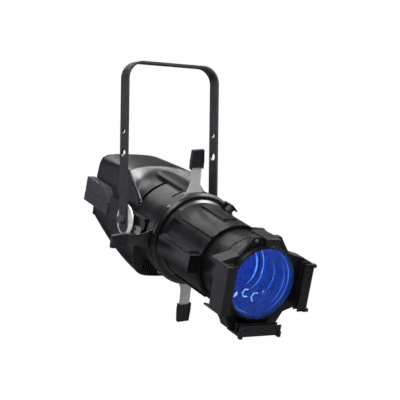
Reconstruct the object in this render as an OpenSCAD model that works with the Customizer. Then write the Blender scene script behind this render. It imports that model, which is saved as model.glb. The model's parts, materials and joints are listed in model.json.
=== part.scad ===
// Ellipsoidal spotlight with a solid-state light engine, hung from a flat-bar yoke.
// Millimetres.  +Z up, -Y is the way the beam leaves, +X is the right-hand side
// seen from the front.  The origin is the centre of the clamp hole in the yoke.

/* [Yoke] */
// Outer width of the yoke
yoke_w = 214; // [212:1:216]
// Width of the flat bar the yoke is bent from
yoke_bar_w = 27; // [25:1:30]
// Thickness of the flat bar
yoke_bar_t = 4.5; // [4:0.1:4.8]
// Outer radius of the two bends
yoke_bend_r = 36; // [28:1:44]
// Height of the clamp hole above the tilt pivot
pivot_drop = 310; // [290:1:330]
// Radius of the clamp hole (M12 clamp bolt)
clamp_hole_r = 6.5; // [6:0.1:7]

/* [Head] */
// Tilt of the head below level at rest
tilt = 18.6; // [0:0.1:30]
// Roll of the shutter barrel at rest
barrel_roll = 1.5; // [-5:0.5:5]
// Half width of the lamp housing
house_x = 77; // [76:0.5:77]
// Wall of the housing castings
wall = 3; // [2.5:0.1:3.5]
// Outer radius of the housing's front collar
collar_r = 85; // [84:0.5:85.5]
// Front end of the housing's front collar, forward of the pivot
collar_s = 62; // [60:0.5:62]

/* [Barrel] */
// Outer radius of the ring that carries the shutters
ring_r = 93.5; // [92:0.5:94]
// Outer radius of the barrel tube ahead of the ring
tube_r = 77.5; // [77.2:0.1:79]
// Front end of the barrel tube, forward of the pivot
tube_s = 243; // [235:1:250]
// Radius of the gate's round opening
gate_r = 36; // [32:1:38]

/* [Shutters] */
// How far the grips stand from the beam axis
grip_r = 141; // [139:1:145]
// Width of the blades' tails
tail_w = 23.6; // [20:0.2:24]

/* [Lens tube] */
// Outer radius of the sliding lens tube
lens_tube_r = 70; // [69:0.5:70.5]
// Front face of the colour-frame seat, forward of the pivot
seat_s = 334; // [330:1:338]
// Half distance between the outer faces of the frame holder
holder_x = 94; // [92:0.5:96]
// Width of the colour frame that the holder takes
frame_w = 159; // [158:0.5:160]

/* [Hidden] */
$fn = 96;
e = 1;
running = 0.05;
clear = 0.3;
axis_u = -4;
arm_end = 24;
pivot_r = 5;
yoke_in = yoke_w / 2 - yoke_bar_t;
disc_t = 3;
disc_r = 30.5;
disc_in = yoke_in - clear - disc_t;
spare_hole_r = 7.5;
spare_hole_up = 130;
small_hole_r = 5;
small_hole_up = 173;
collar_in = collar_r - 4.3;
bore_r = 74;
split_u = -22;
rear_lean = 6.15;
rear_s = -175.4;
panel_t = 3;
pod_x = 94.5;
pod_rear = -186;
pod_front = -84.3;
pod_top = 31;
pod_bottom = -19;
arm_x = 92;
arm_front = 61;
ledge_u = 22;
tongue_half = 24;
blade_t = 1;
plane_gap = 2.8;
gate_s = 86;
blade_inner = 38;
slot_w = 80;
grip_len = 35;
ring_in = 76;
lens_r = 66.8;
front_lens_r = 68.6;
bezel_r = 72.2;
edge_gap = 0.1;
lens_steps = 10;
lip_s = seat_s + 29;
flange_len = 90;
side_low = -50;
side_high = 42;
holder_bore = lens_tube_r + 2.6;
clip_u = 86;
clip_half = 14;
pin_u = 81;
pin_s = seat_s - 19;
eye_t = 6;
eye_r = 5.5;
knob_angle = 43;
lock_s = 114.5;
lock_plate_r = 96.7;

// ---------------------------------------------------------------- frames

// Head frame: x right, y up, z forward along the beam, origin on the tilt pivot.
module on_head() {
    translate([0, 0, -pivot_drop]) rotate([tilt + 90, 0, 0]) children();
}

// Beam frame: the head frame moved to the beam axis.
module on_beam() {
    on_head() translate([0, axis_u, 0]) children();
}

// Barrel frame: the beam frame with the barrel's roll.
module on_barrel() {
    on_beam() rotate([0, 0, barrel_roll]) children();
}

// Rear panel frame: x to the right seen from behind, y up, z out of the panel.
module on_rear() {
    on_head() translate([0, 0, rear_s]) rotate([180 - rear_lean, 0, 0]) rotate([0, 0, 180]) children();
}

// Turns a child's z axis to point along +x.
module along_x() {
    rotate([0, 90, 0]) children();
}

module ring(r_out, r_in, s0, s1) {
    translate([0, 0, s0]) difference() {
        cylinder(r = r_out, h = s1 - s0);
        translate([0, 0, -e]) cylinder(r = r_in, h = s1 - s0 + 2 * e);
    }
}

// A box given by two opposite corners.
module block(low, high) {
    translate(low) cube(high - low);
}

// Mirrored pair, left and right.
module both_sides() {
    children();
    mirror([1, 0, 0]) children();
}

// ---------------------------------------------------------------- yoke

module yoke_outline(inset) {
    half = yoke_w / 2 - inset;
    top = yoke_bar_t / 2 - inset;
    r = yoke_bend_r - inset;
    low = -pivot_drop - arm_end - e;
    translate([-half, low]) square([2 * half, top - r - low]);
    translate([-half + r, top - r - e]) square([2 * (half - r), r + e]);
    for (side = [-1, 1]) translate([side * (half - r), top - r]) circle(r = r);
}

module yoke() color([0.13, 0.13, 0.15]) difference() {
    intersection() {
        rotate([90, 0, 0]) linear_extrude(yoke_bar_w, center = true) difference() {
            yoke_outline(0);
            yoke_outline(yoke_bar_t);
        }
        union() {
            arm_bottom = -pivot_drop - arm_end + yoke_bar_w / 2;
            block([-yoke_w, -yoke_bar_w / 2, arm_bottom], [yoke_w, yoke_bar_w / 2, yoke_bar_t]);
            translate([-yoke_w, 0, arm_bottom]) along_x() cylinder(r = yoke_bar_w / 2, h = 2 * yoke_w);
        }
    }
    translate([0, 0, -yoke_bar_t]) cylinder(r = clamp_hole_r, h = 2 * yoke_bar_t);
    for (hole = [[0, pivot_r + running], [spare_hole_up, spare_hole_r], [small_hole_up, small_hole_r]])
        translate([-yoke_w, 0, hole[0] - pivot_drop]) along_x() cylinder(r = hole[1], h = 2 * yoke_w);
}

// ---------------------------------------------------------------- tilt pivot

module pivot_bolt() color([0.2, 0.2, 0.22]) on_head() mirror([1, 0, 0]) {
    shank_in = arm_x - 6;
    washer_in = yoke_w / 2 + clear;
    translate([shank_in, 0, 0]) along_x() cylinder(r = pivot_r, h = washer_in - shank_in + e);
    translate([washer_in, 0, 0]) along_x() cylinder(r = 10, h = 1.8);
    translate([washer_in + 1.8, 0, 0]) along_x() cylinder(r = 9.2, h = 6, $fn = 6);
}

module tilt_knob() color([0.07, 0.07, 0.08]) on_head() {
    stud_in = arm_x - 6;
    hub_in = yoke_w / 2 + clear;
    translate([stud_in, 0, 0]) along_x() cylinder(r = pivot_r, h = hub_in - stud_in + e);
    translate([hub_in, 0, 0]) along_x() cylinder(r = 12, h = 8);
    translate([hub_in + 6, 0, 0]) along_x() {
        cylinder(r = 17, h = 14);
        for (i = [0:5]) rotate([0, 0, i * 60]) translate([16, 0, 0]) cylinder(r = 5, h = 14);
    }
}

module friction_discs() color([0.93, 0.93, 0.92]) on_head() both_sides()
    translate([disc_in, 0, 0]) along_x() difference() {
        cylinder(r = disc_r, h = disc_t);
        translate([0, 0, -e]) cylinder(r = pivot_r + running, h = disc_t + 2 * e);
    }

// The arm that carries the pivot on the right-hand side of the housing.
module pivot_arm() {
    difference() {
        union() {
            block([house_x + 0.2, pod_bottom, pod_front + 0.3], [arm_x, ledge_u, -e]);
            block([collar_r + 1.5, pod_bottom, -2 * e], [arm_x, ledge_u, arm_front - 8]);
            block([collar_r + 1.5, ledge_u - 3, -40], [arm_x + 3, ledge_u, arm_front]);
            translate([collar_r + 1.5, ledge_u - 14, arm_front - 14]) along_x() cylinder(r = 14, h = arm_x - collar_r - 1.5);
            translate([arm_x - 3, 0, 0]) along_x() cylinder(r = 24, h = disc_in - arm_x + 3);
        }
        translate([arm_x - 20, 0, 0]) along_x() cylinder(r = pivot_r + running, h = 40);
        translate([collar_r, -9, 26]) block([-e, -2, 0], [arm_x, 4, 8]);
    }
}

module pivot_arm_left() color([0.1, 0.1, 0.11]) on_head() mirror([1, 0, 0]) pivot_arm();

module pivot_arm_right() color([0.1, 0.1, 0.11]) on_head() pivot_arm();

// ---------------------------------------------------------------- lamp housing

// Corners of the housing's right half, [x, up, forward]; inset moves them inwards.
function house_corners(inset) = [
    [house_x - inset, -46 + inset, -171 + inset],
    [62 - inset, -54 + inset, -170 + inset],
    [house_x - inset, 36, -179.5 + inset],
    [74 - inset, 62 - inset, -182.5 + inset],
    [69 - inset, 74.5 - inset, -183 + inset],
    [58 - inset, 80.5 - inset, -183 + inset],
    [36 - inset, 83.5 - inset, -182 + inset],
    [36 - inset, 89.5 - inset, -70],
    [house_x - 2 - inset, 85.5 - inset, -58],
    [house_x - inset, 82 - inset, -54],
    [house_x - inset, 56 - inset, -6 - inset],
    [house_x - inset, 42 - inset, 12 - inset],
    [house_x - inset, -60, 12 - inset],
    [66 - inset, -103 + inset, 12 - inset],
    [50 - inset, -115 + inset, 12 - inset],
    [house_x - inset, -58, -36],
    [64 - inset, -100 + inset, -38],
    [50 - inset, -111 + inset, -38]];

module house_form(inset) {
    hull() both_sides() for (corner = house_corners(inset)) translate(corner) cube(0.01, center = true);
}

// The space from depth inside the rear face to height outside it.
module behind(depth, height) {
    translate([0, 0, rear_s]) rotate([180 - rear_lean, 0, 0])
        translate([-200, -200, -depth]) cube([400, 400, depth + height]);
}

// Vent in the housing's front face, from just under the collar to the bottom edge.
module vent_slot(x) {
    top = axis_u - sqrt(pow(collar_r + 5, 2) - x * x);
    block([x - 2, -105, 0], [x + 2, max(top, -103), 40]);
}

module house_shell() {
    difference() {
        house_form(0);
        house_form(wall);
        behind(panel_t + 0.1, 50);
        translate([0, axis_u, -0.4]) cylinder(r = collar_r + 0.2, h = 40);
        translate([0, axis_u, -90]) cylinder(r = bore_r, h = 120);
        for (i = [-5:5]) vent_slot(i * 11);
        for (i = [-4:4]) block([i * 12 - 2, -140, -30], [i * 12 + 2, -90, 0]);
    }
}

module upper_shell() color([0.16, 0.16, 0.18]) on_head() intersection() {
    house_shell();
    block([-200, split_u, -300], [200, 200, 100]);
}

module lower_shell() color([0.14, 0.14, 0.16]) on_head() intersection() {
    house_shell();
    block([-200, -200, -300], [200, split_u - 0.1, 100]);
}

// Solid form of the cowl, from just below the housing's ridge to the collar.
module cowl_form(inset) {
    hull() {
        both_sides() {
            translate([35.6 - inset, 86 - inset, -61.2 - inset]) cube(0.4);
            translate([house_x - 2.4 - inset, 82 - inset, -50.6 - inset]) cube(0.4);
            translate([house_x - 0.4 - inset, 78.4 - inset, -46.8 - inset]) cube(0.4);
            translate([house_x - 0.4 - inset, 56.8 - inset, -5.4 - inset]) cube(0.4);
        }
        intersection() {
            translate([0, axis_u, -1 - inset]) cylinder(r = collar_r - 4 - inset, h = 1.4);
            block([-100, 53.5 - inset, -2 - inset], [100, 100, 2]);
        }
    }
}

// Raised tongue on top of the cowl and collar, with two grooves in its front half.
module cowl_tongue() {
    difference() {
        intersection() {
            translate([0, axis_u, 0]) ring(collar_r + 6, collar_in, -58, collar_s);
            union() {
                block([-tongue_half, 60, -58 + tongue_half], [tongue_half, 100, collar_s]);
                translate([0, 120, -58 + tongue_half]) rotate([90, 0, 0]) cylinder(r = tongue_half, h = 60);
            }
        }
        for (x = [-6, 6]) block([x - 1.2, collar_r + 0.5, 20], [x + 1.2, collar_r + 20, 52]);
    }
}

module front_cowl() color([0.2, 0.2, 0.22]) on_head() {
    difference() {
        union() {
            difference() {
                union() {
                    difference() {
                        cowl_form(0);
                        cowl_form(wall + 1);
                    }
                    cowl_tongue();
                }
                house_form(0);
            }
            translate([0, axis_u, 0]) ring(collar_r - 4, bore_r, 0, 5);
            translate([0, axis_u, 0]) ring(collar_r, bore_r, 4, 12);
            translate([0, axis_u, 0]) ring(collar_r, collar_in, 11, collar_s);
            both_sides() translate([0, axis_u, 49]) rotate([0, 0, 53]) translate([0, collar_r - e, 0])
                rotate([-90, 0, 0]) cylinder(r = 4, h = 3 + e);
        }
        translate([0, axis_u, -90]) cylinder(r = bore_r, h = 100);
    }
}

// Right half of the rear panel's outline, top to bottom.
panel_half = [[36, 82], [58, 79.5], [69, 73.5], [74, 61.5], [house_x, 36], [house_x, -45], [62, -53]];

module rear_panel() color([0.12, 0.12, 0.13]) on_rear() difference() {
    translate([0, 0, -panel_t]) linear_extrude(panel_t) polygon(concat(panel_half, mirrored(panel_half)));
    block([-28, 38, -10], [28, 62, 10]);
    for (i = [0:3]) translate([-24 + i * 16, 24, -10]) cylinder(r = 4.6, h = 20);
    for (side = [-1, 1]) translate([side * 26, -4, -10]) cylinder(r = 12.2, h = 20);
    for (side = [-1, 1]) translate([side * 26, -33, -10]) cylinder(r = 13.2, h = 20);
    for (i = [-5:5]) block([i * 9 - 2, 66, -10], [i * 9 + 2, 74, 10]);
    for (x = [-66, 66]) for (y = [-30, 60]) translate([x, y, -10]) cylinder(r = 2.1, h = 20);
}

module rear_screws() color([0.5, 0.5, 0.52]) on_rear()
    for (x = [-66, 66]) for (y = [-30, 60]) translate([x, y, -panel_t - 0.05]) {
        cylinder(r = 2, h = panel_t + 1);
        translate([0, 0, panel_t + 0.1]) cylinder(r = 3.8, h = 2.2);
    }

// The electronics pod on the right-hand side, open towards the housing.
module side_pod() {
    outline = [[pod_rear, pod_bottom], [pod_rear, pod_top], [-112, pod_top], [pod_front, 6], [pod_front, pod_bottom]];
    difference() {
        translate([house_x + 0.2, 0, 0]) rotate([0, -90, 0]) mirror([0, 0, 1])
            linear_extrude(pod_x - house_x - 0.2) polygon(outline);
        block([house_x - e, pod_bottom + wall, pod_rear + wall], [pod_x - wall, pod_top - wall, -116]);
        block([house_x - e, pod_bottom + wall, pod_rear + wall], [pod_x - wall, 2, pod_front - wall]);
        block([pod_x - 1.2, 1, pod_rear - e], [pod_x + e, 3.4, pod_front + e]);
    }
}

module side_pod_left() color([0.33, 0.32, 0.36]) on_head() mirror([1, 0, 0]) side_pod();

module side_pod_right() color([0.33, 0.32, 0.36]) on_head() side_pod();

// ---------------------------------------------------------------- light engine

sink_front = -82;
sink_len = 46;

module chassis_plate() color([0.6, 0.6, 0.62]) on_beam() difference() {
    block([-62, -50, sink_front], [62, 66, sink_front + 3]);
    translate([0, 0, sink_front - e]) cylinder(r = 38, h = 6);
}

module heat_sink() color([0.72, 0.72, 0.74]) on_beam() {
    block([-46, -44, sink_front - 8.1], [46, 44, sink_front - 0.1]);
    for (i = [0:11]) translate([-44.5 + i * 7.9, -44, sink_front - sink_len]) cube([2, 88, sink_len - 7]);
}

fan_s = sink_front - sink_len - 27;

module fan_frame() color([0.08, 0.08, 0.08]) on_beam() difference() {
    block([-40, -40, fan_s], [40, 40, fan_s + 25]);
    translate([0, 0, fan_s + 4]) cylinder(r = 38, h = 30);
    for (i = [0:3]) rotate([0, 0, 45 + i * 90]) translate([13, -12, fan_s - e]) cube([23, 24, 10]);
    translate([0, 0, fan_s - e]) cylinder(r = 2 + running, h = 10);
}

module fan_rotor() color([0.1, 0.1, 0.1]) on_beam() {
    translate([0, 0, fan_s + 0.5]) cylinder(r = 2, h = 6);
    translate([0, 0, fan_s + 5]) cylinder(r = 15, h = 18);
    for (i = [0:6]) rotate([0, 0, i * 360 / 7]) translate([13, -1, fan_s + 14])
        rotate([35, 0, 0]) translate([0, 0, -8]) cube([22, 1.6, 16]);
}

module led_board() color([0.9, 0.9, 0.88]) on_beam() translate([0, 0, sink_front + 0.1]) cylinder(r = 37, h = 1.8);

module led_emitters() color([0.95, 0.85, 0.4]) on_beam() translate([0, 0, sink_front + 2]) {
    block([-2, -2, 0], [2, 2, 1.5]);
    for (row = [1:2]) for (i = [0:6 * row - 1]) rotate([0, 0, i * 60 / row]) translate([row * 9, 0, 0])
        block([-2, -2, 0], [2, 2, 1.5]);
}

module mixing_tube() color([0.8, 0.82, 0.85]) on_beam() translate([0, 0, sink_front + 6]) difference() {
    cylinder(r = 30, h = 78, $fn = 6);
    translate([0, 0, -e]) cylinder(r = 27.5, h = 78 + 2 * e, $fn = 6);
}

module optic_holder() color([0.35, 0.35, 0.36]) on_beam() {
    ring(56, 30.4, -30, -24);
    for (i = [0:2]) rotate([0, 0, 90 + i * 120]) translate([44, 0, sink_front + 3.2])
        cylinder(r = 5, h = -30 - sink_front - 3.2);
}

module power_supply() color([0.2, 0.4, 0.25]) on_head() {
    block([-60, -80, -60], [60, -78.4, 0]);
    block([-50, -78.4, -56], [-10, -62, -8]);
    block([4, -78.4, -50], [40, -65, -12]);
}

module control_board() color([0.15, 0.35, 0.22]) on_rear() {
    block([-40, 12, -14], [40, 66, -12.4]);
    block([-26, 40, -12.4], [26, 60, -6]);
}

module display_window() color([0.1, 0.14, 0.2]) on_rear() block([-27.8, 38.2, -2.8], [27.8, 61.8, -0.8]);

module button(index) {
    color([0.25, 0.25, 0.27]) on_rear() translate([-24 + index * 16, 24, -panel_t - 1.9]) {
        cylinder(r = 4.3, h = panel_t + 3.5);
        cylinder(r = 5.6, h = 1.6);
    }
}

module button_1() button(0);
module button_2() button(1);
module button_3() button(2);
module button_4() button(3);

// Panel connector with a flange outside the panel, a body through it and a recessed face.
module connector(x, y, r, depth) {
    on_rear() translate([x, y, 0]) difference() {
        union() {
            translate([0, 0, 0.1]) linear_extrude(2) square(2 * r + 3, center = true);
            translate([0, 0, -depth]) cylinder(r = r, h = depth + e);
        }
        translate([0, 0, -depth + 3]) cylinder(r = r - 2.4, h = depth + 2);
        for (side = [-1, 1]) translate([side * (r - 1), side * (r - 1), -2]) cylinder(r = 1.6, h = 6);
    }
}

module power_inlet() color([0.1, 0.15, 0.45]) connector(-26, -33, 13, 15);
module power_outlet() color([0.5, 0.5, 0.52]) connector(26, -33, 13, 15);
module data_inlet() color([0.08, 0.08, 0.08]) connector(-26, -4, 12, 15);
module data_outlet() color([0.08, 0.08, 0.08]) connector(26, -4, 12, 15);

// Loop for the safety cable, between the connectors on the rear panel.
module safety_eye() color([0.5, 0.5, 0.52]) on_rear() translate([-eye_t / 2, -30, 0.1]) difference() {
    union() {
        block([0, -11, 0], [eye_t, 11, 9]);
        translate([0, 0, 9]) along_x() cylinder(r = 11, h = eye_t);
        translate([eye_t / 2, 0, 0]) block([-9, -11, 0], [9, 11, 2.5]);
    }
    translate([-e, 0, 10]) along_x() cylinder(r = eye_r, h = eye_t + 2 * e);
    translate([-20, -20, -40]) cube(40);
}

// ---------------------------------------------------------------- barrel

// Bracket on the front of the ring that carries the thumb wheel.
module lock_bracket() color([0.12, 0.12, 0.13]) on_barrel() rotate([0, 0, -knob_angle]) difference() {
    block([-9, ring_r + 0.2, 96.5], [9, lock_plate_r, lock_s + 11]);
    translate([0, ring_r - e, lock_s]) rotate([-90, 0, 0]) cylinder(r = 3 + running, h = 10);
}

module rotation_lock_knob() color([0.07, 0.07, 0.08]) on_barrel() rotate([0, 0, -knob_angle])
    translate([0, 0, lock_s]) rotate([-90, 0, 0]) {
        translate([0, 0, tube_r + 0.5]) cylinder(r = 3, h = lock_plate_r + 1.5 - tube_r);
        translate([0, 0, tube_r + 4.5]) linear_extrude(ring_r - tube_r - 4.9) difference() {
            circle(r = 8);
            for (i = [0:9]) rotate(i * 36 + 18) translate([8.6, 0]) circle(r = 1.2);
        }
    }

// Place of each shutter's plane in the stack: top, left, bottom, right.
plane_order = [1, 2, 3, 0];

function plane_s(i) = gate_s + (plane_order[i] - 1.5) * plane_gap;

module shutter_barrel() color([0.13, 0.13, 0.14]) on_barrel() difference() {
    rotate_extrude() polygon([[ring_in, 16], [collar_in - clear, 16], [collar_in - clear, collar_s + 0.4],
        [87, collar_s + 0.4], [87, 66], [84, 66], [84, 68], [90.5, 68], [90.5, 93], [ring_r, 94],
        [ring_r, 101], [89, 105], [tube_r + 4, 106], [tube_r + 0.2, 112], [ring_in, 112]]);
    for (i = [0:3]) rotate([0, 0, i * 90]) translate([0, 80, plane_s(i)]) cube([slot_w, 40, 2.2], center = true);
    block([-48, 60, 69.5], [48, 110, 74.5]);
}

module gate_plate() color([0.55, 0.55, 0.57]) on_barrel() ring(ring_in - 0.2, gate_r, 92.5, 95);

module tube_rail(x0, x1, low, high, s1) {
    block([x0, low, 130], [x1, high, s1]);
}

module barrel_tube() color([0.18, 0.18, 0.19]) on_barrel() difference() {
    union() {
        ring(tube_r, ring_in, 112.1, tube_s);
        for (side = [-1, 1]) rotate([0, 0, 46 * side]) block([-1.6, tube_r - 1, 135], [1.6, tube_r + 3.4, tube_s]);
        difference() {
            block([-16.5, tube_r - 8, 130], [10, tube_r + 1.8, tube_s - 30]);
            cylinder(r = tube_r - 0.8, h = 400);
        }
        rotate([0, 0, 46]) difference() {
            translate([10, 0, 0]) rotate([0, -90, 0]) linear_extrude(20)
                polygon([[112.1, tube_r - 8], [112.1, 86], [128, 82], [150, tube_r - 1], [150, tube_r - 8]]);
            cylinder(r = tube_r - 0.8, h = 400);
        }
        both_sides() difference() {
            union() {
                tube_rail(tube_r - 12, 99, -14, 20, tube_s);
                tube_rail(tube_r - 12, 95, -17, 23, tube_s - 14);
            }
            cylinder(r = tube_r - 1, h = 400);
            translate([91, 0, tube_s - 12]) rotate([90, 0, 0]) cylinder(r = 2.6, h = 60, center = true);
        }
        for (a = [140, 180, 220]) rotate([0, 0, a]) block([-3, tube_r - 1, 135], [3, tube_r + 3, tube_s]);
    }
    rotate([0, 0, -90]) block([-4.5, 60, 150], [4.5, 120, 232]);
}

module barrel_bush() color([0.05, 0.05, 0.05]) on_barrel() {
    ring(ring_in - 0.1, lens_tube_r + clear, 222, tube_s - 3);
    difference() {
        ring(ring_in - 0.1, lens_tube_r + clear, 177, 189);
        rotate([0, 0, -90]) block([-4.5, 60, 150], [4.5, 120, 232]);
    }
}

module barrel_screws() color([0.45, 0.45, 0.47]) on_barrel()
    for (a = [46, 136, 226]) rotate([0, 0, a]) translate([0, ring_r + 0.1, 97.4]) rotate([-90, 0, 0])
        cylinder(r = 3.6, h = 2.2);

// ---------------------------------------------------------------- shutters

// Places a shutter's child: up is the way it pulls out.
module on_shutter(i) {
    on_barrel() rotate([0, 0, i * 90 + shutter_swing[i]]) translate([0, 0, plane_s(i)]) children();
}

shutter_swing = [5, 2, 4, 0];

module blade(i) {
    half = tail_w / 2;
    color([0.75, 0.75, 0.74]) on_shutter(i) translate([0, 0, -blade_t / 2]) linear_extrude(blade_t)
        polygon([[-34, blade_inner], [34, blade_inner], [34, 66], [26, 78], [18, 93], [14, 102], [half, 110],
            [half, grip_r + 26], [-half, grip_r + 26], [-half, 110], [-14, 102], [-18, 93], [-26, 78], [-34, 66]]);
}

module blade_top() blade(0);
module blade_left() blade(1);
module blade_bottom() blade(2);
module blade_right() blade(3);

module grip(i) {
    tip = grip_r + grip_len;
    color([0.08, 0.08, 0.1]) on_shutter(i) difference() {
        union() {
            translate([0, 0, -2.6]) linear_extrude(5.2) polygon([[-13, grip_r], [13, grip_r], [11.5, tip], [-11.5, tip]]);
            for (side = [-1, 1]) translate([0, 0, -3.8]) linear_extrude(7.6) polygon([[side * 12, grip_r - 3],
                [side * 14, grip_r - 3], [side * 14.4, grip_r + 11], [side * 12.4, tip], [side * 10.4, tip]]);
            for (k = [0:4]) block([-11.5, grip_r + 6 + k * 5, -3.2], [11.5, grip_r + 8 + k * 5, 3.2]);
            block([-12, tip - 3, -3.8], [12, tip, 3.8]);
        }
        block([-tail_w / 2 - 0.05, grip_r - 10, -blade_t / 2 - 0.05],
            [tail_w / 2 + 0.05, grip_r + 26.1, blade_t / 2 + 0.05]);
    }
}

module grip_top() grip(0);
module grip_left() grip(1);
module grip_bottom() grip(2);
module grip_right() grip(3);

// ---------------------------------------------------------------- lens tube

module lens_tube() color([0.17, 0.17, 0.18]) on_barrel() difference() {
    union() {
        ring(lens_tube_r, lens_r + edge_gap, 152, seat_s - 12);
        ring(lens_tube_r + 1.2, lens_r + edge_gap, 288, 291);
        ring(bezel_r, lens_r + edge_gap, 296, seat_s - 12);
    }
    rotate([0, 0, -90]) translate([0, 50, 190]) rotate([-90, 0, 0]) cylinder(r = 3 + running, h = 60);
}

// Outline of the frame holder: a wide waist between the side flanges, a bottom edge
// and a narrow top that carries the clip.
function holder_half() = let (c = flange_len / 2) [[c, -holder_x], [48, -90], [64, -60], [holder_x, side_low],
    [holder_x, side_high], [54, 53], [30, clip_u]];

function mirrored(points) = [for (i = [len(points) - 1:-1:0]) [-points[i][0], points[i][1]]];

// One flange of the holder, built pointing down from low to high across, with its two guide lips.
module flange(low, high) {
    lip_u = -frame_w / 2 + 5;
    block([low, -holder_x, seat_s - 12], [high, -holder_x + 4, lip_s]);
    block([low, -holder_x, seat_s + 14], [high, lip_u, seat_s + 16]);
    block([low, -holder_x, lip_s - 2.5], [high, lip_u, lip_s]);
    for (x = [low, high - 6]) block([x, -holder_x - 3, lip_s - 5], [x + 6, -holder_x + 8, lip_s + 3]);
}

// Webs that join the flanges' ends to the seat plate.
module holder_webs() {
    for (line = [[[48, -90], [64, -60]], [[64, -60], [holder_x, side_low]], [[holder_x, side_high], [54, 53]]])
        both_sides() translate([0, 0, seat_s - 30]) linear_extrude(30) let (a = line[0], b = line[1])
            polygon([a, b, b + [-3, b[1] > 0 ? -3 : 3], a + [-3, a[1] > 0 ? -3 : 3]]);
}

module frame_holder() color([0.13, 0.13, 0.14]) on_barrel() difference() {
    union() {
        translate([0, 0, seat_s - 6]) linear_extrude(6) polygon(concat(holder_half(), mirrored(holder_half())));
        holder_webs();
        flange(-flange_len / 2, flange_len / 2);
        rotate([0, 0, 90]) flange(side_low, side_high);
        rotate([0, 0, -90]) flange(-side_high, -side_low);
        block([-30, clip_u - 4, seat_s - 12], [30, clip_u, seat_s]);
        for (x = [-21, 17]) difference() {
            block([x, pin_u - 5, pin_s - 5], [x + 4, clip_u - 0.5, seat_s - 5]);
            translate([x - e, pin_u, pin_s]) along_x() cylinder(r = 1.5 + running, h = 6);
        }
        ring(holder_bore + 5, holder_bore, seat_s - 15, seat_s - 5);
    }
    translate([0, 0, seat_s - 60]) cylinder(r = holder_bore, h = 100);
    for (place = holder_screw_places) both_sides() translate([place[0], place[1], seat_s - 30]) cylinder(r = 2.1, h = 60);
}

holder_screw_places = [[24, 79.2], [34, -81]];

module holder_screws() color([0.5, 0.5, 0.52]) on_barrel()
    for (place = holder_screw_places) both_sides() translate([place[0], place[1], 0]) {
        translate([0, 0, seat_s - 11]) cylinder(r = 2, h = 11.2);
        translate([0, 0, seat_s + 0.1]) cylinder(r = 3.2, h = 2);
    }

// Plano-convex lens, flat side to the rear.
module lens(r, s, edge, sag) {
    ball = (r * r + sag * sag) / (2 * sag);
    half = asin(r / ball);
    arc = [for (i = [0:lens_steps]) let (a = half * (1 - i / lens_steps))
        [ball * sin(a), s + edge + sag - ball * (1 - cos(a))]];
    on_barrel() rotate_extrude() polygon(concat([[0, s], [r, s]], arc));
}

module front_lens() color([0.1, 0.2, 0.9, 0.6]) lens(front_lens_r, seat_s + 4, 5, 4);

module rear_lens() color([0.6, 0.7, 0.9, 0.6]) lens(lens_r, 236, 5, 9);

// Bezel that screws onto the front of the lens tube and holds the front lens.
module front_lens_ring() color([0.08, 0.08, 0.09]) on_barrel() {
    ring(bezel_r, front_lens_r + edge_gap, seat_s - 11.9, seat_s + 10);
    ring(front_lens_r + 1, front_lens_r - 2.5, seat_s + 0.9, seat_s + 3.9);
    ring(front_lens_r + 1, front_lens_r - 1, seat_s + 9.1, seat_s + 10.4);
}

module rear_lens_ring() color([0.08, 0.08, 0.09]) on_barrel() {
    ring(lens_r, lens_r - 3, 233, 235.9);
}

module focus_knob() color([0.07, 0.07, 0.08]) on_barrel() rotate([0, 0, -90])
    translate([0, 0, 190]) rotate([-90, 0, 0]) {
        translate([0, 0, lens_r + 1.2]) cylinder(r = 3, h = 104 - lens_r - 1.2);
        translate([0, 0, 101]) cylinder(r = 11, h = 16);
        for (i = [0:7]) rotate([0, 0, i * 45]) translate([10.5, 0, 101]) cylinder(r = 2.4, h = 16);
    }

// Spring clip over the top of the colour frame: a strap on a hub round the pin, with a
// front tab that holds the frame and a tail that is pressed to open it.
module frame_clip() color([0.3, 0.3, 0.31]) on_barrel() difference() {
    union() {
        block([-clip_half, clip_u + 0.4, pin_s - 17], [clip_half, clip_u + 2.4, seat_s + 18]);
        block([-clip_half, clip_u - 11, seat_s + 16.5], [clip_half, clip_u + 2.4, seat_s + 18]);
        block([-clip_half, clip_u - 4.5, pin_s - 17], [clip_half, clip_u + 2.4, pin_s - 14]);
        for (x = [-clip_half, clip_half - 6]) {
            block([x, pin_u, pin_s - 3], [x + 6, clip_u + e, pin_s + 3]);
            translate([x, pin_u, pin_s]) along_x() cylinder(r = 3.2, h = 6);
        }
    }
    translate([-50, pin_u, pin_s]) along_x() cylinder(r = 1.5 + running, h = 100);
}

module clip_pin() color([0.75, 0.75, 0.76]) on_barrel() translate([0, pin_u, pin_s]) {
    translate([-22, 0, 0]) along_x() cylinder(r = 1.5, h = 44);
    both_sides() translate([21.1, 0, 0]) along_x() cylinder(r = 2.8, h = 1.6);
}

module clip_spring() color([0.7, 0.7, 0.7]) on_barrel() translate([-7, pin_u, pin_s]) along_x() {
    ring(2.9, 1.7, 0, 14);
}

yoke();
pivot_bolt();
tilt_knob();
friction_discs();
pivot_arm_left();
pivot_arm_right();
upper_shell();
lower_shell();
front_cowl();
rear_panel();
side_pod_left();
side_pod_right();
chassis_plate();
heat_sink();
fan_frame();
fan_rotor();
led_board();
led_emitters();
mixing_tube();
optic_holder();
power_supply();
control_board();
display_window();
button_1();
button_2();
button_3();
button_4();
power_inlet();
power_outlet();
data_inlet();
data_outlet();
safety_eye();
rear_screws();
lock_bracket();
rotation_lock_knob();
shutter_barrel();
gate_plate();
barrel_tube();
barrel_bush();
barrel_screws();
blade_top();
blade_left();
blade_bottom();
blade_right();
grip_top();
grip_left();
grip_bottom();
grip_right();
lens_tube();
frame_holder();
holder_screws();
front_lens();
front_lens_ring();
rear_lens();
rear_lens_ring();
focus_knob();
frame_clip();
clip_pin();
clip_spring();
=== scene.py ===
import json
import math

import bmesh
import bpy
from mathutils import Matrix, Vector


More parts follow.
